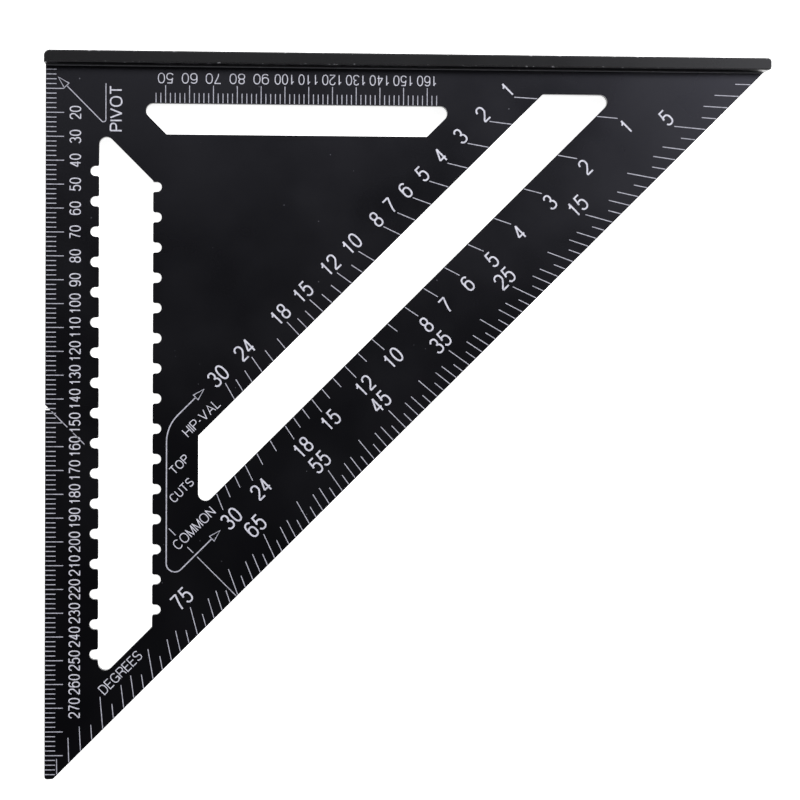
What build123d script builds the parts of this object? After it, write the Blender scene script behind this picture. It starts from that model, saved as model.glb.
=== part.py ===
# Rafter square: a right-angled blade with a 45 degree edge, and a fence along one leg that hooks
# over the edge of a board. The blade's wedge-shaped tongue is pressed into a groove in the fence.
# Millimetres. The origin is the pivot corner, on the blade's underside: +X runs along the fence,
# +Y points out through the fence's back, so the blade lies towards -Y, and +Z is up.
from build123d import *
from math import atan, cos, degrees, radians, sin, sqrt
import os

os.makedirs("parts", exist_ok=True)

# ---- driving dimensions -------------------------------------------------------------------
fence_long = 304.8            # twelve inches
fence_thick = 5.0
fence_high = 25.4             # one inch
fence_lip = 10.7              # how far the fence stands below the blade, and above it
blade_thick = 4.0
blade_long = 300.0            # from the fence's inner face to the tip
long_edge = 303.5             # where the 45 degree edge meets the fence, from the pivot corner
tongue_deep = 2.6
tongue_taper = 0.8            # it leaves the blade at full thickness and loses this much each side
edge_break = 0.2              # small chamfer on the blade's edges
fence_break = 0.5             # chamfer around the fence's upper and lower faces
pivot_end_corner = 2.4        # round on the fence's outer corner at the pivot end
far_end_corner = 1.6          # and at its far end, where the inner corner is round past the blade
blade_corner = 1.0            # round on the blade's tip

mark_thick = 0.05             # the printed marks stand this much above the blade
fine_line = 0.3               # width of a graduation

# The three openings in the blade. Every opening ends at 45 degrees.
top_slot_near, top_slot_far = 15.7, 28.7          # distances from the fence
top_slot_left, top_slot_right = 50.4, 160.0       # ends of its shorter side
left_slot_near, left_slot_far = 22.3, 44.9        # distances from the left edge
left_slot_top, left_slot_bottom = 48.2, 235.9     # ends of its shorter side, from the fence
long_slot_near, long_slot_far = 37.0, 59.5        # distances from the 45 degree edge
long_slot_left = 64.1                             # its lower end is upright, this far from the left edge
long_slot_top = 10.2                              # its upper end is level, this far from the fence
slot_round = 3.1

# Scribing notches along the left opening, a pencil's width apart from each other by half an inch.
notch_step = 12.7
notch_round = 2.1
notch_deep = 3.6
notch_mouth = 0.8
tight_mouth_round = 0.3
first_left_notch, left_notches = 44.3, 17
first_right_notch, right_notches = 50.8, 15

# A nick in the left edge, where the cross line meets it.
nick_start = 142.5                    # from the fence
nick_deep = 2.2

# ---- the frame of the 45 degree edge ---------------------------------------------------------
# "along" runs up the 45 degree edge from where it would meet the left edge, and "inward" is the
# distance from that edge towards the pivot corner.


def on_slope(along, inward):
    """A point given along and inward of the 45 degree edge."""
    return ((along - inward) / sqrt(2), (along + inward) / sqrt(2) - long_edge)


def on_ray(angle, inward):
    """How far along the 45 degree edge a ray from the pivot corner is, at one distance inward."""
    reach = (long_edge - inward * sqrt(2)) / (sin(angle) + cos(angle))
    return (long_edge + reach * (cos(angle) - sin(angle))) / sqrt(2)


# ---- blade -----------------------------------------------------------------------------------
blade_outline = [
    (0, 0),
    (long_edge, 0),
    (long_edge - blade_long, -blade_long),
    (0, -blade_long),
    (0, -nick_start - nick_deep),
    (nick_deep, -nick_start - nick_deep),
    (0, -nick_start),
]
slot_slant = top_slot_far - top_slot_near
top_slot = [
    (top_slot_left - slot_slant, -top_slot_near),
    (top_slot_right + slot_slant, -top_slot_near),
    (top_slot_right, -top_slot_far),
    (top_slot_left, -top_slot_far),
]
side_slant = left_slot_far - left_slot_near
left_slot = [
    (left_slot_near, side_slant - left_slot_top),
    (left_slot_far, -left_slot_top),
    (left_slot_far, -left_slot_bottom),
    (left_slot_near, -left_slot_bottom - side_slant),
]
# On the lines of the long opening, X - Y = long_edge - inward * sqrt(2).
near_line = long_edge - long_slot_near * sqrt(2)
far_line = long_edge - long_slot_far * sqrt(2)
long_slot = [
    (long_slot_left, long_slot_left - near_line),
    (near_line - long_slot_top, -long_slot_top),
    (far_line - long_slot_top, -long_slot_top),
    (long_slot_left, long_slot_left - far_line),
]


def corner(sketch, x, y):
    """The corner of a sketch that is nearest to a point."""
    return sketch.vertices().sort_by_distance((x, y, 0))[0]


def notch_places(first, count, x):
    """Where the round ends of one row of notches are centred."""
    return [(x, -first - step * notch_step) for step in range(count)]


with BuildSketch() as left_opening:
    with BuildLine():
        Polyline(*left_slot, close=True)
    make_face()
    for corner_at in (left_slot[0], left_slot[3]):
        fillet(corner(left_opening, *corner_at), slot_round)
    left_centres = notch_places(first_left_notch, left_notches, left_slot_near - notch_deep + notch_round)
    right_centres = notch_places(first_right_notch, right_notches, left_slot_far + notch_deep - notch_round)
    notch_neck = notch_deep - notch_round
    for centres, side in ((left_centres, 1), (right_centres, -1)):
        with Locations(*centres):
            Circle(notch_round)
        with Locations(*[(x + side * notch_neck, y) for x, y in centres]):
            Rectangle(2 * notch_neck, 2 * notch_round)
    mouths = []
    for centres, edge in ((left_centres, left_slot_near), (right_centres, left_slot_far)):
        for x, y in centres:
            mouths += [(edge, y - notch_round), (edge, y + notch_round)]
    tight_mouth = (left_slot_far, notch_round - first_right_notch)
    roomy = [corner(left_opening, *mouth) for mouth in mouths if mouth != tight_mouth]
    fillet(roomy, notch_mouth)
    fillet(corner(left_opening, *tight_mouth), tight_mouth_round)

# Where the tongue leaves the blade, the lip's face and the blade's underside meet in one line.
tongue = [
    (0, 0),
    (tongue_deep, tongue_taper),
    (tongue_deep, blade_thick - tongue_taper),
    (0, blade_thick),
]

with BuildPart() as blade:
    with BuildSketch():
        with BuildLine():
            Polyline(*blade_outline, close=True)
        make_face()
        add(left_opening.sketch, mode=Mode.SUBTRACT)
        for slot in (top_slot, long_slot):
            with BuildLine():
                Polyline(*slot, close=True)
            make_face(mode=Mode.SUBTRACT)
    extrude(amount=blade_thick)
    for corner_at in (top_slot[0], top_slot[1], long_slot[0], long_slot[1]):
        fillet(blade.edges().filter_by(Axis.Z).sort_by_distance((*corner_at, blade_thick / 2))[0], slot_round)
    for corner_at in blade_outline[2:4]:
        fillet(blade.edges().filter_by(Axis.Z).sort_by_distance((*corner_at, blade_thick / 2))[0], blade_corner)
    for flat in (blade.faces().sort_by(Axis.Z)[-1], blade.faces().sort_by(Axis.Z)[0]):
        chamfer(flat.edges().sort_by(Axis.Y)[:-1], edge_break)
    with BuildSketch(Plane.YZ):
        with BuildLine():
            Polyline(*tongue, close=True)
        make_face()
    extrude(amount=long_edge)
blade.part.label = "blade"
export_step(blade.part, "parts/blade.step")

# ---- fence -----------------------------------------------------------------------------------
with BuildPart() as fence:
    with BuildSketch(Plane.XY.offset(-fence_lip)):
        with Locations((fence_long / 2, fence_thick / 2)):
            Rectangle(fence_long, fence_thick)
    extrude(amount=fence_high)
    for x, y, radius in (
        (0, fence_thick, pivot_end_corner),
        (fence_long, fence_thick, far_end_corner),
        (fence_long, 0, fence_long - long_edge),
    ):
        fillet(fence.edges().filter_by(Axis.Z).sort_by_distance((x, y, 0))[0], radius)
    for flat in (fence.faces().sort_by(Axis.Z)[-1], fence.faces().sort_by(Axis.Z)[0]):
        chamfer(flat.edges(), fence_break)
    with BuildSketch(Plane.YZ):
        with BuildLine():
            Polyline(*tongue, close=True)
        make_face()
    extrude(amount=long_edge, mode=Mode.SUBTRACT)
fence.part.label = "fence"
export_step(fence.part, "parts/fence.step")

# ---- marks -----------------------------------------------------------------------------------
# Every mark is a thin layer on the blade's upper face. Each set of marks is one piece.
upper_face = Plane.XY.offset(blade_thick)
side_ticks = (7.5, 4.3)               # long and short graduations along the left edge
slot_ticks = (7.3, 4.1)               # and above the top opening
degree_ticks = (10.6, 7.9, 5.0)       # inward ends of the degree graduations
common_ticks = (30.0, 31.7)           # outer ends of the common graduations, long and short
hip_ticks = (67.2, 65.2)              # inward ends of the hip-valley graduations
rise_numbers = (1, 2, 3, 4, 5, 6, 7, 8, 10, 12, 15, 18, 24, 30)
common_between = (9, 11, 13, 14, 16, 17, 20, 22, 26, 28)
hip_between = (11, 13, 14, 16, 17, 20, 22, 26, 28)
common_run, hip_run = 12, 17          # a hip rafter runs 17 where a common one runs 12

# Each character is drawn with a pen on a grid 4 wide and 6 high. Each pair of figures is a point.
pen_strokes = {
    "0": ["10 30 41 45 36 16 05 01 10"],
    "1": ["15 26 20"],
    "2": ["05 16 36 45 44 00 40"],
    "3": ["05 16 36 45 44 33 42 41 30 10 01", "23 33"],
    "4": ["02 42", "02 36", "36 30"],
    "5": ["46 06 03 33 42 41 30 10 01"],
    "6": ["45 36 16 05 01 10 30 41 42 33 13 02"],
    "7": ["06 46 10"],
    "8": ["13 04 05 16 36 45 44 33 13 02 01 10 30 41 42 33"],
    "9": ["01 10 30 41 45 36 16 05 04 13 33 44"],
    "-": ["13 33"],
    "A": ["00 26 40", "12 32"],
    "C": ["41 30 10 01 05 16 36 45"],
    "D": ["00 06 26 44 42 20 00"],
    "E": ["40 00 06 46", "03 33"],
    "G": ["45 36 16 05 01 10 30 41 43 23"],
    "H": ["00 06", "40 46", "03 43"],
    "I": ["20 26"],
    "L": ["06 00 40"],
    "M": ["00 06 23 46 40"],
    "N": ["00 06 40 46"],
    "O": ["10 30 41 45 36 16 05 01 10"],
    "P": ["00 06 36 45 44 33 03"],
    "R": ["00 06 36 45 44 33 03", "23 40"],
    "S": ["01 10 30 41 42 33 13 04 05 16 36 45"],
    "T": ["20 26", "06 46"],
    "U": ["06 01 10 30 41 46"],
    "V": ["06 20 46"],
}
drawn_already = {}


def character(letter, high):
    """One character with the middle of its foot at the origin, drawn once for each size."""
    if (letter, high) not in drawn_already:
        pen = 0.1 * high
        across, up = (0.55 * high - pen) / 4, (high - pen) / 6
        with BuildSketch() as drawn:
            for stroke in pen_strokes[letter]:
                points = [((int(x) - 2) * across, int(y) * up + pen / 2) for x, y in stroke.split()]
                with BuildLine():
                    Polyline(*points)
                trace(line_width=pen)
        drawn_already[letter, high] = drawn.sketch
    return drawn_already[letter, high]


def lettering(words, foot, turn, high):
    """Characters side by side, with the middle of their foot at a point, turned by some degrees."""
    pitch = 0.62 * high
    start = Location((*foot, 0), (0, 0, turn))
    for place, letter in enumerate(words):
        step = (place - (len(words) - 1) / 2) * pitch
        if letter != " ":
            yield character(letter, high).moved(start * Location((step, 0, 0)))


def rays(angles, near, far):
    """Fine bars along rays from the pivot corner, reaching from one distance from it to another."""
    middle = (near + far) / 2
    places = [Location((middle * cos(a), -middle * sin(a), 0), (0, 0, -degrees(a))) for a in angles]
    with Locations(*places):
        Rectangle(far - near, fine_line)


def keep_between(low, high):
    """Trims a sketch to a band along the 45 degree edge."""
    with Locations(on_slope(long_edge / sqrt(2), (low + high) / 2)):
        Rectangle(2 * long_edge, high - low, rotation=45, mode=Mode.INTERSECT)


def save(marks, name):
    """Labels one set of marks and writes it."""
    marks.part.label = name
    export_step(marks.part, f"parts/{name}.step")


def write_marks(words_and_places, name):
    """Makes one piece of lettering: each entry is the words, their foot, their turn and height."""
    with BuildPart() as marks:
        with BuildSketch(upper_face):
            add([shape for entry in words_and_places for shape in lettering(*entry)])
        extrude(amount=mark_thick)
    save(marks, name)
    return marks.part


# Millimetres along the left edge, from the fence's inner face, and above the top opening.
with BuildPart() as edge_scale:
    with BuildSketch(upper_face):
        for length, step in zip(side_ticks, (10, 2)):
            with Locations((length / 2 + edge_break, -blade_long / 2)):
                with GridLocations(0, step, 1, round(blade_long / step) - 1):
                    Rectangle(length, fine_line)
    extrude(amount=mark_thick)
save(edge_scale, "edge_scale_graduations")
edge_feet = [(str(n), (14.8, -n), 90, 4.8) for n in range(20, 280, 10)]
edge_numbers = write_marks(edge_feet, "edge_scale_numbers")

slot_scale_middle = 105
with BuildPart() as slot_scale:
    with BuildSketch(upper_face):
        for length, step, count in zip(slot_ticks, (10, 2), (12, 60)):
            with Locations((slot_scale_middle, edge_break + length / 2 - top_slot_near)):
                with GridLocations(step, 0, count, 1):
                    Rectangle(fine_line, length)
    extrude(amount=mark_thick)
save(slot_scale, "slot_scale_graduations")
write_marks([(str(n), (n, -3.0), 180, 4.4) for n in range(50, 170, 10)], "slot_scale_numbers")

# Degrees along the 45 degree edge, measured from the fence about the pivot corner.
with BuildPart() as degree_scale:
    for inward, last_figures in zip(degree_ticks, ((0, 5), (2, 3, 7, 8), (1, 4, 6, 9))):
        with BuildSketch(upper_face):
            rays([radians(d) for d in range(1, 90) if d % 10 in last_figures], 190, 305)
            keep_between(edge_break * sqrt(2), inward)
        extrude(amount=mark_thick)
save(degree_scale, "degree_scale_graduations")
degree_feet = [(a, on_slope(on_ray(radians(a), degree_ticks[0]), 12.0)) for a in range(5, 85, 10)]
write_marks([(str(a), foot, 45, 7.2) for a, foot in degree_feet], "degree_scale_numbers")
write_marks([("DEGREES", on_slope(56.7, 9.7), 45, 4.3)], "degree_scale_label")


def rafter_scale(name, run, ends, start, between, reach, numbers_at):
    """One rafter scale: rays whose slope is a rise of 1 to 30 over its run, and their numbers."""
    with BuildPart() as scale:
        for end, rises in zip(ends, (rise_numbers, between)):
            with BuildSketch(upper_face):
                rays([atan(rise / run) for rise in rises], *reach)
                keep_between(*sorted((start, end)))
            extrude(amount=mark_thick)
    save(scale, f"{name}_graduations")
    feet = [(n, on_slope(on_ray(atan(n / run), ends[0]), numbers_at)) for n in rise_numbers]
    write_marks([(str(n), foot, 45, 7.0) for n, foot in feet], f"{name}_numbers")


below_slot = long_slot_near - edge_break * sqrt(2)
above_slot = long_slot_far + edge_break * sqrt(2)
rafter_scale("common_scale", common_run, common_ticks, below_slot, common_between, (170, 260), 21.5)
write_marks([("COMMON", on_slope(121.4, 31.0), 45, 4.3)], "common_scale_label")
rafter_scale("hip_valley_scale", hip_run, hip_ticks, above_slot, hip_between, (140, 230), 68.0)
write_marks([("HIP-VAL", on_slope(156.4, 61.8), 45, 4.3)], "hip_valley_scale_label")
top_cuts = [("TOP", on_slope(136.0, 54.6), 45, 3.8), ("CUTS", on_slope(129.0, 46.3), 45, 3.8)]
write_marks(top_cuts, "top_cuts_label")

# A bracket with an arrow at each end ties the top-cuts caption to the two rafter scales.
arrow_long, arrow_half_wide = 4.9, 1.4
bracket_line = 0.5
bracket_upright = 50.8                         # from the left edge
bracket_arms = ((71.7, 165.7), (24.7, 128.5))  # inward of the 45 degree edge, and each tip along it
(upper_in, upper_tip), (lower_in, lower_tip) = bracket_arms
bracket_route = [
    on_slope(upper_tip - arrow_long, upper_in),
    (bracket_upright, bracket_upright + upper_in * sqrt(2) - long_edge),
    (bracket_upright, bracket_upright + lower_in * sqrt(2) - long_edge),
    on_slope(lower_tip - arrow_long, lower_in),
]


def arrow(tip, heading):
    """A hollow arrowhead with its tip at a point, heading some degrees from +X."""
    with BuildSketch() as head:
        with BuildLine():
            Polyline((0, 0), (-arrow_long, arrow_half_wide), (-arrow_long, -arrow_half_wide), close=True)
        trace(line_width=fine_line)
    return head.sketch.moved(Location((*tip, 0), (0, 0, heading)))


with BuildPart() as bracket:
    with BuildSketch(upper_face):
        for inward, tip in bracket_arms:
            add(arrow(on_slope(tip, inward), 45))
        with BuildLine():
            FilletPolyline(*bracket_route, radius=(9.0, 4.5))
        trace(line_width=bracket_line)
    extrude(amount=mark_thick)
save(bracket, "top_cuts_bracket")

# The cross line runs square to the 45 degree edge, broken where other marks are.
cross_line_along = (long_edge - nick_start) / sqrt(2)
cross_line_pieces = [(0.5, 23.7), (26.0, 29.5), (36.5, 40.5), (90.6, 97.4), (100.7, 110.0)]
with BuildPart() as cross_line:
    with BuildSketch(upper_face):
        for low, high in cross_line_pieces:
            with Locations(on_slope(cross_line_along, (low + high) / 2)):
                Rectangle(fine_line, high - low, rotation=45)
    extrude(amount=mark_thick)
    add(edge_scale.part, mode=Mode.SUBTRACT)
    add(edge_numbers, mode=Mode.SUBTRACT)
save(cross_line, "cross_line")

# The pivot mark: its caption reads up the blade, and its arrow points at the pivot corner.
write_marks([("PIVOT", (32.0, -18.1), 90, 5.3)], "pivot_label")
pointer_tip = (5.25, -5.25)
pointer_base = tuple(part + side * arrow_long / sqrt(2) for part, side in zip(pointer_tip, (1, -1)))
with BuildPart() as pivot_pointer:
    with BuildSketch(upper_face):
        add(arrow(pointer_tip, 135))
        with BuildLine():
            FilletPolyline((25.1, -7.7), (25.1, -25.2), pointer_base, radius=1.0)
        trace(line_width=fine_line)
    extrude(amount=mark_thick)
save(pivot_pointer, "pivot_pointer")
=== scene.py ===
# %% [markdown]
# A rafter square, built round its CAD frame
#
# A rafter square is a flat triangular blade of black anodised aluminium, standing across a
# straight fence that hooks over the edge of a board. Pale marks are printed on the blade:
# millimetres, degrees and the slopes of rafters. The CAD model already has the blade and the
# fence at their real size, so this lesson gives those two their finish and draws the marks
# again with better lettering. The first cell loads the frame and keeps its box.

# %% Load the frame
import math

import bmesh
import bpy
from mathutils import Matrix, Vector
from mathutils.geometry import delaunay_2d_cdt


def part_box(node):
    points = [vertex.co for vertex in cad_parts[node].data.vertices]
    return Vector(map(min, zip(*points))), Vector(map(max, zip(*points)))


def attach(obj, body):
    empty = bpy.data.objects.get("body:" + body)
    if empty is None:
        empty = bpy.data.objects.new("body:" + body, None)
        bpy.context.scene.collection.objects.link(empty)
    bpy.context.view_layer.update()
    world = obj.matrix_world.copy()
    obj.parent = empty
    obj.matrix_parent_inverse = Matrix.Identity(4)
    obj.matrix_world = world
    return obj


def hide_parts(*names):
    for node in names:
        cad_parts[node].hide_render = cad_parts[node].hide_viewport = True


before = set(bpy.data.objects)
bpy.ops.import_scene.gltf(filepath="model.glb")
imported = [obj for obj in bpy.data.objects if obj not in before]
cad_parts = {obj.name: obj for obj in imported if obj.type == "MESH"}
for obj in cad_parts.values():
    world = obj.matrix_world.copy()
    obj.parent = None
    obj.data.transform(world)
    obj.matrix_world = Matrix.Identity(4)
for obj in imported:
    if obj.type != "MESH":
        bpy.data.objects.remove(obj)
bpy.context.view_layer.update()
mm = 0.001
blade_low, blade_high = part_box("blade")
fence_low, fence_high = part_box("fence")
face_height = blade_high.z
fence_long = fence_high.x
print("blade face at", round(face_height / mm, 2), "mm, fence", round(fence_long / mm, 1), "mm long")

# %% [markdown]
# The 45 degree edge has a frame of its own
#
# Most of the marks are set out from the long 45 degree edge, so two numbers place them best:
# how far along that edge they are, and how far inward of it, towards the pivot corner. The
# pivot corner is the origin. A ray from it at some angle below the fence crosses a line that
# is parallel to the long edge at a distance that one formula gives.

# %% Places on the blade
edge_meets_fence = 303.5
half = math.sqrt(2)


def on_slope(along, inward):
    """The point, in millimetres, at a distance along the 45 degree edge and inward of it."""
    return (along - inward) / half, (along + inward) / half - edge_meets_fence


def ray_reach(angle, inward):
    """How far a ray from the pivot corner goes before it is only that far inward of the edge."""
    return (edge_meets_fence - inward * half) / (math.sin(angle) + math.cos(angle))


def ray_along(angle, inward):
    """How far along the 45 degree edge that place is."""
    reach = ray_reach(angle, inward)
    return (edge_meets_fence + reach * (math.cos(angle) - math.sin(angle))) / half


print("the long edge is", round(edge_meets_fence * half, 1), "mm from corner to corner")

# %% [markdown]
# Helpers for materials
#
# Every material here is a small tree of nodes. One function adds a node, gives it its settings
# and joins its inputs, so each material below reads as a list of steps. Colours are written as
# the hex values that a paint program shows, and one function turns them into the linear values
# that Blender works with.

# %% Material helpers


def linear(hex_colour):
    """A hex sRGB colour as linear RGBA."""
    parts = [int(hex_colour[i:i + 2], 16) / 255 for i in (1, 3, 5)]
    return [p / 12.92 if p <= 0.04045 else ((p + 0.055) / 1.055) ** 2.4 for p in parts] + [1.0]


def add_node(tree, kind, settings=None, **inputs):
    """Adds one node. Settings are its properties; an input is a value or another node's socket."""
    node = tree.nodes.new(kind)
    for name, value in (settings or {}).items():
        setattr(node, name, value)
    for name, value in inputs.items():
        key = int(name[1:]) if name[0] == "i" and name[1:].isdigit() else name.replace("_", " ")
        socket = node.inputs[key]
        if isinstance(value, bpy.types.NodeSocket):
            tree.links.new(value, socket)
        else:
            socket.default_value = value
    return node


def new_material(name):
    """An empty material with a shader and its output, and the object's own coordinates."""
    material = bpy.data.materials.new(name)
    material.use_nodes = True
    tree = material.node_tree
    tree.nodes.clear()
    shader = add_node(tree, "ShaderNodeBsdfPrincipled")
    output = add_node(tree, "ShaderNodeOutputMaterial")
    tree.links.new(shader.outputs[0], output.inputs["Surface"])
    place = add_node(tree, "ShaderNodeTexCoord").outputs["Object"]
    return material, tree, shader, place


def ramp(tree, factor, low, high, low_value=0.0, high_value=1.0):
    """Turns a factor between low and high into a value, and holds it outside them."""
    node = add_node(tree, "ShaderNodeMapRange", {"clamp": True}, Value=factor, From_Min=low,
                    From_Max=high, To_Min=low_value, To_Max=high_value)
    return node.outputs[0]


def per_metre(size_in_mm):
    """The scale of a pattern whose features are this many millimetres across."""
    return 1 / (size_in_mm * mm)


# %% [markdown]
# Black anodised aluminium
#
# Anodising grows a hard oxide on aluminium, and a dye fills its pores. The metal under it was
# etched to a satin first, so the black isn't flat: it has a soft sheen, a very fine grain and
# faint cloudy tones. Handling leaves tiny pale flecks. On an edge the oxide is rubbed thin, so
# it is a little paler there, with short bright nicks where metal shows. Both are kept to the
# broken edges by the slope of the surface: the flat face looks up, the walls look sideways, and
# only the narrow bevel between them is slanted. The edge tint is also a painted highlight: on
# the fence it is raised to stand in for the thin line of light along its edges, and on the
# root round the whole colour is painted highlight.

# %% Anodised finish


def black_anodised_aluminium(name, tint, cloud_tint, edge_wear_and_highlight_tint, grain_mm, rough):
    """Satin black anodising, with its grain, clouds, flecks, nicked edges and a painted highlight on the
    edges.
    """
    material, tree, shader, place = new_material(name)
    clouds = add_node(tree, "ShaderNodeTexNoise", None, Vector=place, Scale=per_metre(45), Detail=3.0)
    clouding = ramp(tree, clouds.outputs[0], 0.35, 0.7)
    oxide = add_node(tree, "ShaderNodeMix", {"data_type": "RGBA"}, Factor=clouding,
                     i6=linear(tint), i7=linear(cloud_tint))

    flecks = add_node(tree, "ShaderNodeTexVoronoi", None, Vector=place, Scale=per_metre(5.0))
    fleck_near = ramp(tree, flecks.outputs["Distance"], 0.035, 0.06, 1.0, 0.0)
    chosen = add_node(tree, "ShaderNodeSeparateColor", None, Color=flecks.outputs["Color"])
    fleck_there = ramp(tree, chosen.outputs[0], 0.80, 0.82)
    fleck = add_node(tree, "ShaderNodeMath", {"operation": "MULTIPLY"}, i0=fleck_near, i1=fleck_there)
    with_flecks = add_node(tree, "ShaderNodeMix", {"data_type": "RGBA"}, Factor=fleck.outputs[0],
                           i6=oxide.outputs[2], i7=linear("#4c4c52"))

    # The bevel colour is wear and painted highlight: rubbed oxide and nicks, plus a paler tint that stands
    # in for light caught by the edges.
    facing = add_node(tree, "ShaderNodeNewGeometry")
    slopes = add_node(tree, "ShaderNodeSeparateXYZ", None, Vector=facing.outputs["True Normal"])
    upward = add_node(tree, "ShaderNodeMath", {"operation": "ABSOLUTE"}, i0=slopes.outputs[2])
    above_wall = ramp(tree, upward.outputs[0], 0.15, 0.3)
    below_face = ramp(tree, upward.outputs[0], 0.9, 0.97, 1.0, 0.0)
    bevel = add_node(tree, "ShaderNodeMath", {"operation": "MULTIPLY"}, i0=above_wall, i1=below_face)
    chips = add_node(tree, "ShaderNodeTexNoise", None, Vector=place, Scale=per_metre(2.2), Detail=4.0)
    chipped = ramp(tree, chips.outputs[0], 0.62, 0.68)
    edge_wear_and_highlight_colour = add_node(tree, "ShaderNodeMix", {"data_type": "RGBA"}, Factor=chipped,
                           i6=linear(edge_wear_and_highlight_tint), i7=linear("#8c8c90"))
    colour = add_node(tree, "ShaderNodeMix", {"data_type": "RGBA"}, Factor=bevel.outputs[0],
                      i6=with_flecks.outputs[2], i7=edge_wear_and_highlight_colour.outputs[2])

    grain = add_node(tree, "ShaderNodeTexNoise", None, Vector=place, Scale=per_metre(grain_mm), Detail=2.0)
    satin = ramp(tree, clouds.outputs[0], 0.3, 0.7, rough - 0.04, rough + 0.05)
    bump = add_node(tree, "ShaderNodeBump", None, Strength=0.12, Distance=0.02 * mm,
                    Height=grain.outputs[0])
    tree.links.new(colour.outputs[2], shader.inputs["Base Color"])
    tree.links.new(satin, shader.inputs["Roughness"])
    tree.links.new(bump.outputs[0], shader.inputs["Normal"])
    shader.inputs["Metallic"].default_value = 1.0
    return material


blade_look = {"tint": "#131316", "cloud_tint": "#17171a", "edge_wear_and_highlight_tint": "#1e1e22", "grain_mm": 0.35,
              "rough": 0.28}
# The fence's edge tint is paler than the blade's: a painted highlight along its edges, on top of the wear.
fence_look = {"tint": "#141415", "cloud_tint": "#181819", "edge_wear_and_highlight_tint": "#343436", "grain_mm": 0.5,
              "rough": 0.30}
# The root round's colours are a painted highlight: a pale grey that stands in for the light its hollow
# catches.
root_highlight_look = {"tint": "#57575b", "cloud_tint": "#6a6a6e", "edge_wear_and_highlight_tint": "#57575b", "grain_mm": 0.5,
             "rough": 0.40}
blade_finish = black_anodised_aluminium("satin black anodised aluminium", **blade_look)
fence_finish = black_anodised_aluminium("extruded black anodised aluminium", **fence_look)
root_highlight_finish = black_anodised_aluminium("painted highlight on anodised aluminium", **root_highlight_look)
for node, finish in (("blade", blade_finish), ("fence", fence_finish)):
    node_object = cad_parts[node]
    node_object.data.materials.clear()
    node_object.data.materials.append(finish)
print("blade and fence have their finish")

# %% [markdown]
# Pad-printed ink
#
# The scales are pad printed: a soft pad picks pale ink out of an engraved plate and lays it on
# the blade, a few hundredths of a millimetre thick. Ink is a plastic film, not a metal, so it
# scatters light evenly and hardly shines. The film is thinner in places, where the black shows
# through and the mark looks greyer.

# %% Ink finish


def pad_printed_ink(name, full, thin):
    """A pale ink film whose cover varies from place to place."""
    material, tree, shader, place = new_material(name)
    cover = add_node(tree, "ShaderNodeTexNoise", None, Vector=place, Scale=per_metre(1.4), Detail=3.0)
    thinness = ramp(tree, cover.outputs[0], 0.42, 0.72)
    ink = add_node(tree, "ShaderNodeMix", {"data_type": "RGBA"}, Factor=thinness,
                   i6=linear(full), i7=linear(thin))
    film = add_node(tree, "ShaderNodeTexNoise", None, Vector=place, Scale=per_metre(0.25), Detail=1.0)
    bump = add_node(tree, "ShaderNodeBump", None, Strength=0.2, Distance=0.01 * mm, Height=film.outputs[0])
    tree.links.new(ink.outputs[2], shader.inputs["Base Color"])
    tree.links.new(bump.outputs[0], shader.inputs["Normal"])
    shader.inputs["Roughness"].default_value = 0.55
    return material


figure_ink = pad_printed_ink("pale grey pad printed ink", "#cacad6", "#a4a4b2")
line_ink = pad_printed_ink("thin grey pad printed ink", "#b2b2bf", "#8a8a96")
ink_thick = 0.05 * mm
ink_sunk = 0.02 * mm

# %% [markdown]
# Straight scales with Geometry Nodes
#
# A ruler is one line repeated: the same short bar every two millimetres, with a longer one at
# every tenth. A Geometry Nodes tree says exactly that. It lays points in a row, puts a bar a
# millimetre long on each, and stretches the bar to the long or the short length by asking
# whether the point's number divides evenly. Changing one input changes the whole scale.

# %% The ruler tree


def bar_size(tree, length, inputs):
    """The size of one line: its length, the pen's width and the ink's thickness."""
    node = add_node(tree, "ShaderNodeCombineXYZ", None, X=length,
                    Y=inputs.outputs["Line width"], Z=inputs.outputs["Thickness"])
    return node.outputs[0]


def start_tree(name, sockets):
    """A new Geometry Nodes tree with its named inputs."""
    tree = bpy.data.node_groups.new(name, "GeometryNodeTree")
    tree.interface.new_socket("Geometry", in_out="OUTPUT", socket_type="NodeSocketGeometry")
    tree.interface.new_socket("Geometry", in_out="INPUT", socket_type="NodeSocketGeometry")
    for label, kind in sockets.items():
        tree.interface.new_socket(label, in_out="INPUT", socket_type=kind)
    return tree, tree.nodes.new("NodeGroupInput")


def end_tree(tree, bars, inputs):
    """Realize the instances, give them their ink and end the tree."""
    real = add_node(tree, "GeometryNodeRealizeInstances", None, Geometry=bars)
    inked = add_node(tree, "GeometryNodeSetMaterial", None, Geometry=real.outputs[0],
                     Material=inputs.outputs["Ink"])
    output = tree.nodes.new("NodeGroupOutput")
    tree.links.new(inked.outputs[0], output.inputs[0])


def calculate(tree, operation, first, second=0.0):
    """One sum on a field."""
    return add_node(tree, "ShaderNodeMath", {"operation": operation}, i0=first, i1=second).outputs[0]


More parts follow.
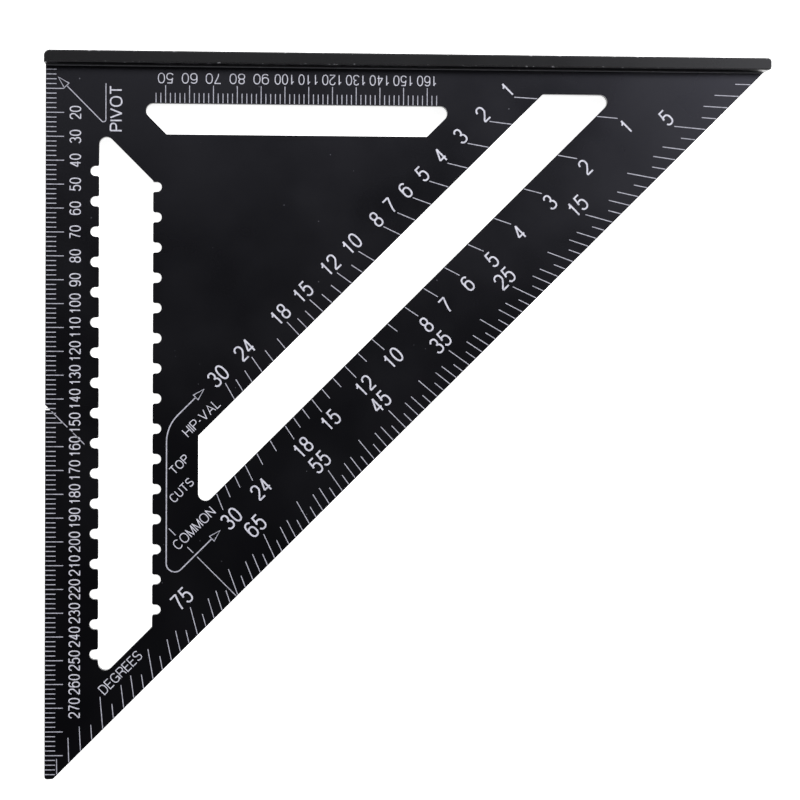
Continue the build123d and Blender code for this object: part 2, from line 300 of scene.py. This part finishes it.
def ruler_tree():
    """Lines in a row along Y, each reaching along +X, the longer ones at every so many."""
    sockets = {"Count": "NodeSocketInt", "First number": "NodeSocketInt",
               "Long every": "NodeSocketInt", "Step": "NodeSocketFloat",
               "Long line": "NodeSocketFloat", "Short line": "NodeSocketFloat",
               "Line width": "NodeSocketFloat", "Thickness": "NodeSocketFloat",
               "Ink": "NodeSocketMaterial"}
    tree, inputs = start_tree("ruler graduations", sockets)
    down = calculate(tree, "MULTIPLY", inputs.outputs["Step"], -1.0)
    step = add_node(tree, "ShaderNodeCombineXYZ", None, Y=down)
    row = add_node(tree, "GeometryNodeMeshLine", None, Count=inputs.outputs["Count"],
                   Offset=step.outputs[0])
    index = add_node(tree, "GeometryNodeInputIndex").outputs[0]
    number = calculate(tree, "ADD", index, inputs.outputs["First number"])
    left_over = calculate(tree, "MODULO", number, inputs.outputs["Long every"])
    is_short = calculate(tree, "GREATER_THAN", left_over, 0.5)
    length = add_node(tree, "ShaderNodeMix", {"data_type": "FLOAT"}, Factor=is_short,
                      i2=inputs.outputs["Long line"], i3=inputs.outputs["Short line"]).outputs[0]
    middle = add_node(tree, "ShaderNodeCombineXYZ", None, X=calculate(tree, "MULTIPLY", length, 0.5))
    placed = add_node(tree, "GeometryNodeSetPosition", None, Geometry=row.outputs[0],
                      Offset=middle.outputs[0])
    bar = add_node(tree, "GeometryNodeMeshCube", None, Size=(1.0, 1.0, 1.0))
    bars = add_node(tree, "GeometryNodeInstanceOnPoints", None, Points=placed.outputs[0],
                    Instance=bar.outputs[0], Scale=bar_size(tree, length, inputs))
    end_tree(tree, bars.outputs[0], inputs)
    return tree


# %% [markdown]
# Fans of rays with Geometry Nodes
#
# The degree scale and the two rafter scales are lines on rays from the pivot corner. A line
# starts where its ray is one distance inward of the 45 degree edge and ends where it is
# another, so its length changes with its angle. The tree takes one point for each ray, which
# carries its angle and its two distances, and works out the rest with the formula from the
# cell on places.

# %% The fan tree


def named(tree, name):
    """A number that each point carries."""
    return add_node(tree, "GeometryNodeInputNamedAttribute", {"data_type": "FLOAT"}, Name=name).outputs[0]


def fan_tree():
    """One line on each ray from the pivot corner, from its outer to its inner distance."""
    sockets = {"Edge meets fence": "NodeSocketFloat", "Line width": "NodeSocketFloat",
               "Thickness": "NodeSocketFloat", "Ink": "NodeSocketMaterial"}
    tree, inputs = start_tree("fan of rays", sockets)
    angle = named(tree, "angle")
    sine, cosine = calculate(tree, "SINE", angle), calculate(tree, "COSINE", angle)
    across = calculate(tree, "ADD", sine, cosine)
    ends = []
    for name in ("outer", "inner"):
        shift = calculate(tree, "MULTIPLY", named(tree, name), half)
        left = calculate(tree, "SUBTRACT", inputs.outputs["Edge meets fence"], shift)
        ends.append(calculate(tree, "DIVIDE", left, across))
    length = calculate(tree, "ABSOLUTE", calculate(tree, "SUBTRACT", *ends))
    middle = calculate(tree, "MULTIPLY", calculate(tree, "ADD", *ends), 0.5)
    place = add_node(tree, "ShaderNodeCombineXYZ", None, X=calculate(tree, "MULTIPLY", middle, cosine),
                     Y=calculate(tree, "MULTIPLY", calculate(tree, "MULTIPLY", middle, sine), -1.0))
    placed = add_node(tree, "GeometryNodeSetPosition", None, Geometry=inputs.outputs["Geometry"],
                      Position=place.outputs[0])
    turn = add_node(tree, "ShaderNodeCombineXYZ", None, Z=calculate(tree, "MULTIPLY", angle, -1.0))
    bar = add_node(tree, "GeometryNodeMeshCube", None, Size=(1.0, 1.0, 1.0))
    bars = add_node(tree, "GeometryNodeInstanceOnPoints", None, Points=placed.outputs[0],
                    Instance=bar.outputs[0], Rotation=turn.outputs[0],
                    Scale=bar_size(tree, length, inputs))
    end_tree(tree, bars.outputs[0], inputs)
    return tree


# %% [markdown]
# From a tree to a plain piece
#
# The export needs plain meshes, so each result is read from the evaluated object, moved to its
# place inside the mesh and given a fresh object at the origin. The modifier goes away with the
# object that held it.

# %% Bake a tree to a mesh


def tree_result(name, tree, start_mesh, values, place):
    """Runs a tree on a mesh, and returns a new object with the result in place."""
    holder = bpy.data.objects.new("holder", start_mesh)
    bpy.context.scene.collection.objects.link(holder)
    modifier = holder.modifiers.new("tree", "NODES")
    modifier.node_group = tree
    for item in tree.interface.items_tree:
        if item.in_out == "INPUT" and item.name in values:
            modifier[item.identifier] = values[item.name]
    evaluated = holder.evaluated_get(bpy.context.evaluated_depsgraph_get())
    mesh = bpy.data.meshes.new_from_object(evaluated)
    bpy.data.objects.remove(holder)
    mesh.transform(place)
    mesh.name = name
    piece = bpy.data.objects.new(name, mesh)
    bpy.context.scene.collection.objects.link(piece)
    return piece


def declare(piece, node):
    """Puts a piece under the root body and hides the CAD part that it replaces."""
    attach(piece, "root")
    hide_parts(node)


ink_middle = face_height + (ink_thick - ink_sunk) / 2
line_width = 0.34 * mm
line_values = {"Line width": line_width, "Thickness": ink_thick + ink_sunk, "Ink": line_ink}

# %% [markdown]
# The two millimetre scales
#
# One scale runs down the left edge, counted from the fence, and its lines start at the edge.
# The other runs along the top opening, counted from the left edge, and its lines start at the
# opening. The ruler tree draws both: the second is the first turned by a quarter turn.

# %% Millimetre scales
ruler = ruler_tree()
edge_break = 0.2 * mm
edge_values = {"Count": 149, "First number": 1, "Long every": 5, "Step": 2 * mm,
               "Long line": 7.5 * mm, "Short line": 4.3 * mm, **line_values}
edge_place = Matrix.Translation((edge_break, -2 * mm, ink_middle))
edge_lines = tree_result("edge_scale_lines", ruler, bpy.data.meshes.new("empty"), edge_values, edge_place)
declare(edge_lines, "edge_scale_graduations")

# The first line over the opening is at 46 mm. Counting it as line 3 makes 50 mm line 5, a long one.
slot_start, slot_edge = 46.0, -15.7
slot_values = {**edge_values, "Count": 60, "First number": 3, "Long line": 7.3 * mm,
               "Short line": 4.1 * mm}
slot_first = Vector((slot_start * mm, slot_edge * mm + edge_break, ink_middle))
slot_place = Matrix.Translation(slot_first) @ Matrix.Rotation(math.pi / 2, 4, "Z")
slot_lines = tree_result("slot_scale_lines", ruler, bpy.data.meshes.new("empty"), slot_values, slot_place)
declare(slot_lines, "slot_scale_graduations")
print("edge lines", len(edge_lines.data.polygons) // 6, "slot lines", len(slot_lines.data.polygons) // 6)

# %% [markdown]
# The three fans
#
# A degree line is long at every fifth degree and short next to it, so the eye can count. A
# rafter scale has a line wherever the slope is a whole number of units of rise over its run:
# twelve for a common rafter, and seventeen for a hip or valley rafter, because it crosses the
# building at 45 degrees.

# %% Degree and rafter fans
fan = fan_tree()
degree_ends = {0: 10.6, 1: 5.0, 2: 7.9, 3: 7.9, 4: 5.0}
long_slot_near, long_slot_far = 37.0, 59.5
rises = (1, 2, 3, 4, 5, 6, 7, 8, 10, 12, 15, 18, 24, 30)
common_run, hip_run = 12, 17
common_between = (9, 11, 13, 14, 16, 17, 20, 22, 26, 28)
hip_between = (11, 13, 14, 16, 17, 20, 22, 26, 28)
common_end, common_short_end = 30.0, 31.7
hip_end, hip_short_end = 67.2, 65.2
bevel_across = 0.3


def fan_lines(name, rays, node):
    """A fan from its rays: each has an angle, and an outer and an inner distance."""
    mesh = bpy.data.meshes.new("rays")
    mesh.from_pydata([(0, 0, 0)] * len(rays), [], [])
    for column, label in enumerate(("angle", "outer", "inner")):
        attribute = mesh.attributes.new(label, "FLOAT", "POINT")
        unit = 1 if label == "angle" else mm
        attribute.data.foreach_set("value", [ray[column] * unit for ray in rays])
    values = {"Edge meets fence": edge_meets_fence * mm, **line_values}
    piece = tree_result(name, fan, mesh, values, Matrix.Translation((0, 0, ink_middle)))
    declare(piece, node)
    print(name, len(rays), "lines")


degree_rays = [(math.radians(d), bevel_across, degree_ends[d % 5]) for d in range(1, 90)]
fan_lines("degree_scale_lines", degree_rays, "degree_scale_graduations")
below_slot, above_slot = long_slot_near - bevel_across, long_slot_far + bevel_across
common_rays = [(math.atan(n / common_run), below_slot, common_end) for n in rises]
common_rays += [(math.atan(n / common_run), below_slot, common_short_end) for n in common_between]
fan_lines("common_scale_lines", common_rays, "common_scale_graduations")
hip_rays = [(math.atan(n / hip_run), above_slot, hip_end) for n in rises]
hip_rays += [(math.atan(n / hip_run), above_slot, hip_short_end) for n in hip_between]
fan_lines("hip_valley_scale_lines", hip_rays, "hip_valley_scale_graduations")

# %% [markdown]
# Lettering drawn with a pen
#
# Figures on a tool are plain strokes of one width with flat ends. Each one here is drawn as a
# pen would draw it, on a box one unit wide and one high: straight runs between points, and
# arcs of an oval where it is round. The ovals are a little square at the corners, because
# narrow lettering has straight sides. A figure 9 is a 6 turned round, and an O is a 0.

# %% Pen strokes


def arc(x, y, wide, high, start, end):
    """Points along an oval with squarish corners, from one angle to another in degrees."""
    squareness = 0.86
    steps = max(4, round(abs(end - start) / 15))
    points = []
    for step in range(steps + 1):
        turn = math.radians(start + (end - start) * step / steps)
        cosine, sine = math.cos(turn), math.sin(turn)
        points.append((x + wide * math.copysign(abs(cosine) ** squareness, cosine),
                       y + high * math.copysign(abs(sine) ** squareness, sine)))
    return points


def turned_round(strokes):
    """The same strokes turned by half a turn."""
    return [[(1 - x, 1 - y) for x, y in stroke] for stroke in strokes]


oval = [arc(0.5, 0.5, 0.5, 0.5, 0, 360)]
six = [arc(0.5, 0.33, 0.5, 0.33, 0, 360), arc(0.5, 0.68, 0.5, 0.32, 35, 180) + [(0.0, 0.33)]]
bowl = [(0, 1)] + arc(0.55, 0.74, 0.45, 0.26, 90, -90) + [(0, 0.48)]
strokes_of = {
    "0": oval,
    "1": [[(0.22, 0.73), (0.42, 0.78), (0.56, 0.88), (0.60, 1.0)], [(0.62, 0), (0.62, 1)]],
    "2": [arc(0.5, 0.71, 0.5, 0.29, 175, -35) + [(0.55, 0.32), (0.12, 0.12), (0, 0)], [(0, 0), (1, 0)]],
    "3": [arc(0.48, 0.76, 0.42, 0.24, 165, -90), arc(0.48, 0.26, 0.52, 0.26, 90, -165)],
    "4": [[(0.74, 0), (0.74, 1)], [(0.74, 1), (0, 0.27)], [(0, 0.27), (1, 0.27)]],
    "5": [[(0.93, 1), (0.18, 1), (0.08, 0.47)], arc(0.48, 0.33, 0.52, 0.33, 150, -155)],
    "6": six,
    "7": [[(0, 1), (1, 1)], [(1, 1), (0.62, 0.55), (0.42, 0.25), (0.35, 0)]],
    "8": [arc(0.5, 0.76, 0.43, 0.24, 0, 360), arc(0.5, 0.26, 0.5, 0.26, 0, 360)],
    "9": turned_round(six),
    "-": [[(0, 0.38), (1, 0.38)]],
    "A": [[(0, 0), (0.5, 1), (1, 0)], [(0.18, 0.34), (0.82, 0.34)]],
    "C": [arc(0.5, 0.5, 0.5, 0.5, 40, 320)],
    "D": [[(0, 0), (0, 1)] + arc(0.45, 0.5, 0.55, 0.5, 90, -90) + [(0, 0)]],
    "E": [[(1, 0), (0, 0), (0, 1), (1, 1)], [(0, 0.52), (0.92, 0.52)]],
    "G": [arc(0.5, 0.5, 0.5, 0.5, 40, 335) + [(0.97, 0.45)], [(0.55, 0.45), (1, 0.45)], [(1, 0.45), (1, 0)]],
    "H": [[(0, 0), (0, 1)], [(1, 0), (1, 1)], [(0, 0.52), (1, 0.52)]],
    "I": [[(0.5, 0), (0.5, 1)]],
    "L": [[(0, 1), (0, 0), (1, 0)]],
    "M": [[(0, 0), (0, 1)], [(0, 1), (0.5, 0)], [(0.5, 0), (1, 1)], [(1, 1), (1, 0)]],
    "N": [[(0, 0), (0, 1)], [(0, 1), (1, 0)], [(1, 0), (1, 1)]],
    "O": oval,
    "P": [[(0, 0), (0, 1)], bowl],
    "R": [[(0, 0), (0, 1)], bowl, [(0.6, 0.48), (0.9, 0.34), (0.97, 0)]],
    "S": [arc(0.5, 0.75, 0.48, 0.25, 20, 270) + arc(0.5, 0.25, 0.5, 0.25, 90, -160)],
    "T": [[(0.5, 0), (0.5, 1)], [(0, 1), (1, 1)]],
    "U": [[(0, 1)] + arc(0.5, 0.32, 0.5, 0.32, 180, 360) + [(1, 1)]],
    "V": [[(0, 1), (0.5, 0)], [(0.5, 0), (1, 1)]],
}

# Outer widths as a share of the height, before a word is drawn narrower to fit its place.
figure_width, gap = 0.66, 0.13
width_of = {"A": 0.88, "C": 0.85, "D": 0.78, "E": 0.68, "G": 0.88, "H": 0.76, "I": 0.12,
            "L": 0.62, "M": 0.88, "N": 0.77, "O": 0.94, "P": 0.76, "R": 0.78, "S": 0.76,
            "T": 0.80, "U": 0.76, "V": 0.88, "-": 0.32}
print(len(strokes_of), "characters")

# %% [markdown]
# A clean outline for the ink
#
# Strokes cross, and crossed ribbons of ink would lie inside each other. So the strokes of one
# character are first widened to flat ribbons, then a constrained triangulation joins every
# ribbon into one flat patch. It fills closed loops too, so the triangles that no ribbon covers
# are left out and a nought keeps its hole. Pulling the patch down gives it the ink's thickness
# and its walls.

# %% Widen strokes and join them


def ribbon(points, pen):
    """The two sides of a stroke: each point moved out by half the pen, square to the stroke."""
    closed = math.dist(points[0], points[-1]) < 1e-6
    sides = []
    for number, (x, y) in enumerate(points):
        before = points[number - 1] if number else (points[-2] if closed else None)
        after = points[number + 1] if number + 1 < len(points) else (points[1] if closed else None)
        headings = []
        for first, second in ((before, (x, y)), ((x, y), after)):
            if first and second:
                headings.append((Vector(second) - Vector(first)).normalized())
        heading = sum(headings, Vector((0, 0))).normalized()
        spread = min(1 / max(heading.dot(headings[0]), 0.1), 1.6)
        out = Vector((-heading.y, heading.x)) * pen / 2 * spread
        sides.append(((x + out.x, y + out.y), (x - out.x, y - out.y)))
    return sides


def joined_patch(strokes, pen):
    """The corners and triangles of one flat patch that covers every stroke, in millimetres."""
    corners, quads = [], []
    for stroke in strokes:
        first = len(corners)
        for pair in ribbon(stroke, pen):
            corners += [Vector(side) for side in pair]
        for step in range(len(stroke) - 1):
            a = first + 2 * step
            quads.append([a, a + 1, a + 3, a + 2])
    points, _, triangles, _, _, covered_by = delaunay_2d_cdt(corners, [], quads, 1, 1e-5)
    return points, [triangle for triangle, quad in zip(triangles, covered_by) if quad]


def ink_piece(name, patches, ink):
    """One piece from flat patches, each with its place, given the ink's thickness."""
    build = bmesh.new()
    for (corners, triangles), place in patches:
        placed = [place @ Vector((c.x, c.y, 0)) for c in corners]
        made = [build.verts.new((p.x * mm, p.y * mm, face_height + ink_thick)) for p in placed]
        for triangle in triangles:
            build.faces.new([made[corner] for corner in triangle])
    bmesh.ops.recalc_face_normals(build, faces=build.faces)
    if sum(face.normal.z for face in build.faces) < 0:
        bmesh.ops.reverse_faces(build, faces=build.faces)
    pulled = bmesh.ops.extrude_face_region(build, geom=list(build.faces), use_keep_orig=True)
    lowered = [item for item in pulled["geom"] if isinstance(item, bmesh.types.BMVert)]
    bmesh.ops.translate(build, verts=lowered, vec=(0, 0, -ink_thick - ink_sunk))
    bmesh.ops.recalc_face_normals(build, faces=build.faces)
    mesh = bpy.data.meshes.new(name)
    build.to_mesh(mesh)
    build.free()
    mesh.materials.append(ink)
    piece = bpy.data.objects.new(name, mesh)
    bpy.context.scene.collection.objects.link(piece)
    return piece


# %% [markdown]
# Setting words and figures
#
# Figures all take the same width, as on any scale, and letters have widths of their own. The
# lettering is set centred on its foot, then turned to read along its scale: up the left edge,
# upside down over the top opening, and along the 45 degree edge.

# %% Set a line of lettering


def set_line(words, foot, turn, high, pen, narrow):
    """Patches of the characters of one line, with the middle of their foot at a point."""
    boxes = [width_of.get(letter, figure_width) * high * narrow for letter in words]
    space = gap * high * narrow
    left = -(sum(boxes) + space * (len(words) - 1)) / 2
    frame_of_line = Matrix.Translation((*foot, 0)) @ Matrix.Rotation(math.radians(turn), 4, "Z")
    patches = []
    for letter, box in zip(words, boxes):
        inside = max(box - pen, 0)
        strokes = [[(left + pen / 2 + x * inside, pen / 2 + y * (high - pen)) for x, y in stroke]
                   for stroke in strokes_of[letter]]
        patches.append((joined_patch(strokes, pen), frame_of_line))
        left += box + space
    return patches


def lettering(name, lines, node):
    """One piece of lettering from its lines."""
    patches = [patch for line in lines for patch in set_line(*line)]
    piece = ink_piece(name, patches, figure_ink)
    declare(piece, node)
    print(name, len(patches), "characters,", len(piece.data.polygons), "faces")


# Each line is its words, its foot, its turn, its height, its pen and how narrow it is drawn.
up_the_edge, upside_down, up_the_slope = 90, 180, 45
narrow_figures, narrow_words = 0.8, 0.88
two_digits_wide, three_digits_wide = 1.02, 0.88

edge_foot, edge_high, edge_pen = 14.8, 4.8, 0.46
edge_text = [(str(n), (edge_foot, -n), up_the_edge, edge_high, edge_pen, narrow_figures)
             for n in range(20, 280, 10)]
lettering("edge_scale_figures", edge_text, "edge_scale_numbers")

slot_foot, slot_high, slot_pen = -3.0, 4.4, 0.38
slot_widths = [(n, two_digits_wide if n < 100 else three_digits_wide) for n in range(50, 170, 10)]
slot_text = [(str(n), (n, slot_foot), upside_down, slot_high, slot_pen, wide)
             for n, wide in slot_widths]
lettering("slot_scale_figures", slot_text, "slot_scale_numbers")

large_pen, degree_high, rafter_high = 0.70, 7.2, 7.0
degree_foot, common_foot, hip_foot = 12.0, 21.5, 68.0
degree_feet = [(a, on_slope(ray_along(math.radians(a), degree_ends[0]), degree_foot))
               for a in range(5, 85, 10)]
degree_text = [(str(a), foot, up_the_slope, degree_high, large_pen, narrow_figures)
               for a, foot in degree_feet]
lettering("degree_scale_figures", degree_text, "degree_scale_numbers")
rafter_scales = (("common", common_run, common_end, common_foot),
                 ("hip_valley", hip_run, hip_end, hip_foot))
for name, run, end, foot_in in rafter_scales:
    feet = [(n, on_slope(ray_along(math.atan(n / run), end), foot_in)) for n in rises]
    text = [(str(n), foot, up_the_slope, rafter_high, large_pen, narrow_figures) for n, foot in feet]
    lettering(name + "_scale_figures", text, name + "_scale_numbers")

# A caption along the slope has its words, how far along the edge, how far inward, and its height.
small_pen, caption_high, top_cuts_high = 0.38, 4.3, 3.8
slope_captions = {
    "degrees_caption": ("degree_scale_label", [("DEGREES", 56.7, 9.7, caption_high)]),
    "common_caption": ("common_scale_label", [("COMMON", 121.4, 31.0, caption_high)]),
    "hip_valley_caption": ("hip_valley_scale_label", [("HIP-VAL", 156.4, 61.8, caption_high)]),
    "top_cuts_caption": ("top_cuts_label", [("TOP", 136.0, 54.6, top_cuts_high),
                                            ("CUTS", 129.0, 46.3, top_cuts_high)]),
}
for name, (node, words) in slope_captions.items():
    text = [(word, on_slope(along, inward), up_the_slope, high, small_pen, narrow_words)
            for word, along, inward, high in words]
    lettering(name, text, node)

pivot_foot, pivot_high, pivot_pen, pivot_narrow = (32.0, -18.1), 5.3, 0.6, 0.9
pivot_text = [("PIVOT", pivot_foot, up_the_edge, pivot_high, pivot_pen, pivot_narrow)]
lettering("pivot_caption", pivot_text, "pivot_label")

# %% [markdown]
# Lines that go somewhere
#
# Three marks are single drawn lines: the bracket that ties the top-cuts caption to the two
# rafter scales, the pointer to the pivot corner, and the cross line that is square to the long
# edge. Corners are rounded by an arc that touches both runs, and hollow arrowheads end them.

# %% Drawn lines


def rounded(points, radii):
    """A route through points, with each inner corner replaced by an arc of its own radius."""
    route = [points[0]]
    for before, at, after, radius in zip(points, points[1:], points[2:], radii):
        at = Vector(at)
        back, on = (Vector(before) - at).normalized(), (Vector(after) - at).normalized()
        opening = back.angle(on)
        middle = at + (back + on).normalized() * (radius / math.sin(opening / 2))
        reach = radius / math.tan(opening / 2)
        start, end = at + back * reach - middle, at + on * reach - middle
        for step in range(13):
            spoke = start.lerp(end, step / 12).normalized() * radius
            route.append(tuple(middle + spoke))
    return route + [points[-1]]


arrow_long, arrow_half_wide = 4.9, 1.4


def arrowhead(tip, heading):
    """The closed outline of a hollow arrowhead and the middle of its base."""
    along = Vector((math.cos(math.radians(heading)), math.sin(math.radians(heading))))
    side = Vector((-along.y, along.x)) * arrow_half_wide
    base = Vector(tip) - along * arrow_long
    return [tip, tuple(base + side), tuple(base - side), tip], tuple(base)


def drawn(name, strokes_and_pens, node):
    """A piece of drawn lines, each with its own pen."""
    patches = [(joined_patch([stroke], pen), Matrix.Identity(4)) for stroke, pen in strokes_and_pens]
    piece = ink_piece(name, patches, line_ink)
    declare(piece, node)


bracket_pen, pointer_pen, arrow_pen, cross_pen = 0.5, 0.4, 0.35, 0.36
bracket_upright = 50.8
upper_in, upper_tip, lower_in, lower_tip = 71.7, 165.7, 24.7, 128.5
upper_head, upper_base = arrowhead(on_slope(upper_tip, upper_in), 45)
lower_head, lower_base = arrowhead(on_slope(lower_tip, lower_in), 45)
upper_bend = (bracket_upright, bracket_upright + upper_in * half - edge_meets_fence)
lower_bend = (bracket_upright, bracket_upright + lower_in * half - edge_meets_fence)
bracket_route = rounded([upper_base, upper_bend, lower_bend, lower_base], (16.0, 3.6))
bracket_parts = [(bracket_route, bracket_pen), (upper_head, arrow_pen), (lower_head, arrow_pen)]
drawn("top_cuts_bracket_line", bracket_parts, "top_cuts_bracket")

pivot_head, pivot_base = arrowhead((5.25, -5.25), 135)
pointer_route = rounded([(25.1, -7.7), (25.1, -25.2), pivot_base], (1.0,))
drawn("pivot_pointer_line", [(pointer_route, pointer_pen), (pivot_head, arrow_pen)], "pivot_pointer")

# The cross line meets the left edge at 142.5 mm, and is printed in stretches.
cross_at = 142.5
cross_along = (edge_meets_fence - cross_at) / half
cross_ends = [(0.5, 23.7), (26.0, 29.5), (36.5, 40.5), (90.6, 97.4), (100.7, 110.0)]
cross_strokes = [([on_slope(cross_along, low), on_slope(cross_along, high)], cross_pen)
                 for low, high in cross_ends]
drawn("square_cross_line", cross_strokes, "cross_line")
print("lines drawn")

# %% [markdown]
# The root of the blade
#
# Where the blade stands out of the fence, the upper inside corner has a small hollow round,
# whose pale colour is a painted highlight and draws a second thin line beside the fence. The
# lower corner stays square, because the edge of a board has to fit into it. The round is a
# strip with a curved face, swept along X.

# %% Root round
root_radius, root_steps = 0.4, 6
root_turns = [math.radians(90 * step / root_steps) for step in range(root_steps + 1)]
root_section = [(0.0, 0.0)] + [(-root_radius * (1 - math.sin(t)), root_radius * (1 - math.cos(t)))
                               for t in root_turns]
root_ends = (0.05, edge_meets_fence - 0.6)
root_corners = [(x * mm, y * mm, face_height + z * mm) for x in root_ends for y, z in root_section]
round_count = len(root_section)
root_faces = [tuple(range(round_count)), tuple(range(2 * round_count - 1, round_count - 1, -1))]
for corner in range(round_count):
    following = (corner + 1) % round_count
    root_faces.append((corner, corner + round_count, following + round_count, following))
root_mesh = bpy.data.meshes.new("root_round")
root_mesh.from_pydata(root_corners, [], root_faces)
root_build = bmesh.new()
root_build.from_mesh(root_mesh)
bmesh.ops.recalc_face_normals(root_build, faces=root_build.faces)
root_build.to_mesh(root_mesh)
root_build.free()
# The round's pale grey is a painted highlight, not wear.
root_mesh.materials.append(root_highlight_finish)
root_round = bpy.data.objects.new("root_round", root_mesh)
bpy.context.scene.collection.objects.link(root_round)
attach(root_round, "root")
print("root round", root_radius, "mm")

# %% [markdown]
# The floor, the light and the camera
#
# The tool rests on the lower lip of its fence and on the tip of its blade, so the floor is
# tilted a little under it instead of the tool being moved. It is white paper that gives off
# some light of its own, so it stays white under the tool. The light is soft and comes from
# above: a panel beyond the fence's far end gives the black its slow change from nearly black to
# grey, and one over the fence lightens the strip below it. The camera looks down from about a
# metre, through a long lens.

# %% Floor
floor_tilt = math.atan2(-fence_low.z, -blade_low.y)
floor_clearance, floor_size = 0.5 * mm, 6.0
bpy.ops.mesh.primitive_plane_add(size=floor_size)
floor = bpy.context.object
floor.name = "floor"
floor_middle = Matrix.Translation((0, 0, fence_low.z - floor_clearance))
floor_place = floor_middle @ Matrix.Rotation(-floor_tilt, 4, "X")
floor.data.transform(floor_place)
floor_material, _, floor_shader, _ = new_material("white paper")
floor_shader.inputs["Base Color"].default_value = linear("#f4f4f4")
floor_shader.inputs["Roughness"].default_value = 0.9
floor_shader.inputs["Emission Color"].default_value = linear("#ffffff")
floor_shader.inputs["Emission Strength"].default_value = 0.9
floor.data.materials.append(floor_material)

# %% Light


def soft_panel(name, place, target, size, power):
    """A square area light aimed at a point."""
    lamp = bpy.data.lights.new(name, "AREA")
    lamp.shape = "SQUARE"
    lamp.size = size
    lamp.energy = power
    panel = bpy.data.objects.new(name, lamp)
    bpy.context.scene.collection.objects.link(panel)
    panel.location = place
    panel.rotation_mode = "QUATERNION"
    panel.rotation_quaternion = (Vector(target) - Vector(place)).to_track_quat("-Z", "Y")


middle_of_blade = (0.12, -0.12, 0.0)
soft_panel("panel past the fence's far end", (0.85, 0.35, 1.6), middle_of_blade, 0.6, 22)
soft_panel("panel over the fence", (0.0, 0.42, 1.5), middle_of_blade, 0.45, 5)
world = bpy.data.worlds.new("soft studio")
world.use_nodes = True
world.node_tree.nodes["Background"].inputs["Color"].default_value = linear("#ffffff")
world.node_tree.nodes["Background"].inputs["Strength"].default_value = 0.40
bpy.context.scene.world = world
bpy.context.scene.view_settings.view_transform = "Standard"

# %% Camera
camera_place = Vector((0.0847, -0.1199, 1.0600))
look_at = Vector((0.1491, -0.1399, face_height))
lens = bpy.data.cameras.new("long lens")
lens.sensor_width = 36.0
lens.lens = 112.6
camera = bpy.data.objects.new("camera", lens)
bpy.context.scene.collection.objects.link(camera)
ahead = (look_at - camera_place).normalized()
right = ahead.cross(Vector((0, 1, 0))).normalized()
upright = right.cross(ahead)
roll = math.radians(0.27)
right, upright = (right * math.cos(roll) + upright * math.sin(roll),
                  upright * math.cos(roll) - right * math.sin(roll))
turned = Matrix((right, upright, -ahead)).transposed().to_4x4()
camera.matrix_world = Matrix.Translation(camera_place) @ turned
bpy.context.scene.camera = camera
